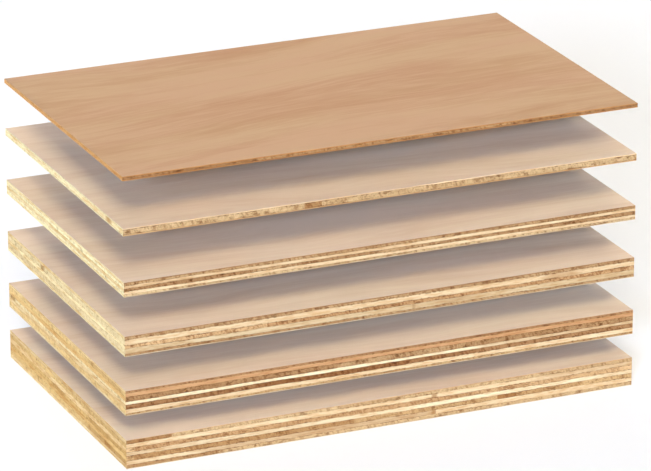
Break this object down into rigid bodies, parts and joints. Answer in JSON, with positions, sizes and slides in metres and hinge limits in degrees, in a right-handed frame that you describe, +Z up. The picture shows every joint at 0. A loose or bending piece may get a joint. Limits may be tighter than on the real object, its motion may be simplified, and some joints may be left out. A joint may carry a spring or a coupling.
{
  "type": "stack of plywood sheets",
  "caption": "Stack of rectangular plywood sheets of graded thickness, laid up from veneers that show as bands on the edges and held apart by hidden spacer blocks.",
  "frame": {"origin": "centre of the bottom sheet's underside, where the stack rests", "axes": "+X along the sheets' long side and face grain, +Y across them towards the back, +Z up"},
  "size_m": [0.33, 0.195, 0.181],
  "materials": {
    "red_face_veneer": "sanded, unfinished reddish-tan face veneer",
    "pale_face_veneer": "sanded, unfinished pale beige face veneer",
    "cross_core_veneer": "sawn edge: end grain at front and back, long grain at the ends",
    "long_core_veneer": "sawn edge: long grain at front and back, end grain at the ends",
    "spacer_wood": "sawn softwood"
  },
  "bodies": {
    "root": {"bottom_sheet_back_veneer": "pale_face_veneer", "bottom_sheet_core_1_cross": "cross_core_veneer", "bottom_sheet_core_2_long": "long_core_veneer", "bottom_sheet_core_3_cross": "cross_core_veneer", "bottom_sheet_core_4_long": "long_core_veneer", "bottom_sheet_core_5_cross": "cross_core_veneer", "bottom_sheet_core_6_long": "long_core_veneer", "bottom_sheet_core_7_cross": "cross_core_veneer", "bottom_sheet_face_veneer": "pale_face_veneer", "fifth_sheet_back_veneer": "pale_face_veneer", "fifth_sheet_core_1_cross": "cross_core_veneer", "fifth_sheet_face_veneer": "pale_face_veneer", "fourth_sheet_back_veneer": "pale_face_veneer", "fourth_sheet_core_1_cross": "cross_core_veneer", "fourth_sheet_core_2_long": "long_core_veneer", "fourth_sheet_core_3_cross": "cross_core_veneer", "fourth_sheet_core_4_long": "long_core_veneer", "fourth_sheet_core_5_cross": "cross_core_veneer", "fourth_sheet_face_veneer": "pale_face_veneer", "second_sheet_back_veneer": "pale_face_veneer", "second_sheet_core_1_cross": "cross_core_veneer", "second_sheet_core_2_long": "long_core_veneer", "second_sheet_core_3_cross": "cross_core_veneer", "second_sheet_core_4_long": "long_core_veneer", "second_sheet_core_5_cross": "cross_core_veneer", "second_sheet_core_6_long": "long_core_veneer", "second_sheet_core_7_cross": "cross_core_veneer", "second_sheet_face_veneer": "pale_face_veneer", "spacer_1_left": "spacer_wood", "spacer_1_right": "spacer_wood", "spacer_2_left": "spacer_wood", "spacer_2_right": "spacer_wood", "spacer_3_left": "spacer_wood", "spacer_3_right": "spacer_wood", "spacer_4_left": "spacer_wood", "spacer_4_right": "spacer_wood", "spacer_5_left": "spacer_wood", "spacer_5_right": "spacer_wood", "third_sheet_back_veneer": "pale_face_veneer", "third_sheet_core_1_cross": "cross_core_veneer", "third_sheet_core_2_long": "long_core_veneer", "third_sheet_core_3_cross": "cross_core_veneer", "third_sheet_core_4_long": "long_core_veneer", "third_sheet_core_5_cross": "cross_core_veneer", "third_sheet_face_veneer": "pale_face_veneer", "top_sheet_back_veneer": "pale_face_veneer", "top_sheet_core_1_cross": "cross_core_veneer", "top_sheet_face_veneer": "red_face_veneer"}
  },
  "joints": []
}
